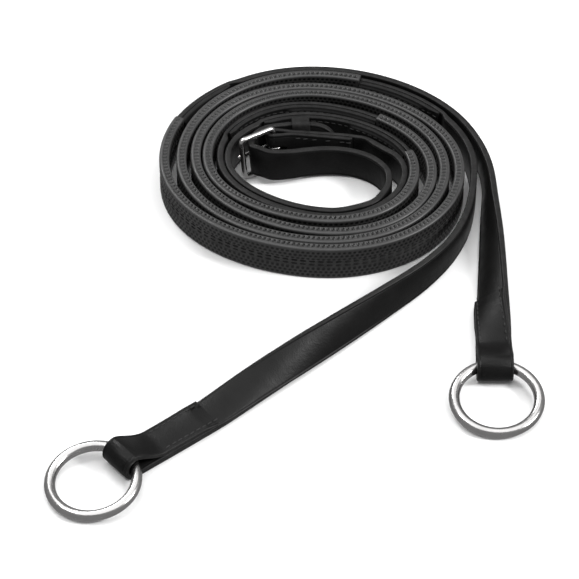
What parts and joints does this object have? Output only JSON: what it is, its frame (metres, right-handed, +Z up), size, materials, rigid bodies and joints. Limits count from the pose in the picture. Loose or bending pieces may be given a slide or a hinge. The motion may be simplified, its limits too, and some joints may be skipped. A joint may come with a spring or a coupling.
{
  "type": "pair of rubber-grip riding reins",
  "caption": "Coiled pair of leather riding reins with stitched rubber grips, a steel ring on each front end and a buckle and keeper joining the rear ends.",
  "frame": {"origin": "middle of the base of the bounding box, on the surface the coil lies on", "axes": "+Z up, -Y towards the ring ends, +X to the side of the right ring"},
  "size_m": [0.2155, 0.2806, 0.0224],
  "materials": {
    "leather": "satin",
    "rubber": "matte",
    "webbing": "woven",
    "thread": "twisted thread",
    "steel": "polished"
  },
  "bodies": {
    "reins": {"right_front_strap": "leather", "right_front_lap": "leather", "right_grip_core": "webbing", "right_grip_cover": "rubber", "right_grip_seam": "thread", "right_rear_lap": "leather", "right_rear_strap": "leather", "right_loop_stitches": "thread", "right_front_lap_stitches": "thread", "right_rear_lap_stitches": "thread", "left_front_strap": "leather", "left_front_lap": "leather", "left_grip_core": "webbing", "left_grip_cover": "rubber", "left_grip_seam": "thread", "left_rear_lap": "leather", "left_billet_strap": "leather", "left_loop_stitches": "thread", "left_front_lap_stitches": "thread", "left_rear_lap_stitches": "thread", "keeper": "leather", "chape_stitches": "thread"},
    "right_ring": {"right_ring": "steel"},
    "left_ring": {"left_ring": "steel"},
    "buckle_frame": {"buckle_frame": "steel"},
    "buckle_prong": {"buckle_prong": "steel"}
  },
  "joints": [
    {"name": "right_ring_swing", "type": "hinge", "parent": "reins", "child": "right_ring", "pos_m": [0.0868, -0.0543, 0.0064], "axis": [-1, 0, 0], "range_deg": [0, 160]},
    {"name": "left_ring_swing", "type": "hinge", "parent": "reins", "child": "left_ring", "pos_m": [-0.0737, -0.1078, 0.0064], "axis": [-0.66, 0.7513, 0], "range_deg": [0, 160]},
    {"name": "buckle_frame_tilt", "type": "hinge", "parent": "reins", "child": "buckle_frame", "pos_m": [-0.0106, 0.0869, 0.011], "axis": [-0.0879, 0.1884, 0.9781], "range_deg": [-2, 2]},
    {"name": "buckle_prong_lift", "type": "hinge", "parent": "buckle_frame", "child": "buckle_prong", "pos_m": [-0.0106, 0.0869, 0.011], "axis": [0.0879, -0.1884, -0.9781], "range_deg": [0, 5]}
  ]
}
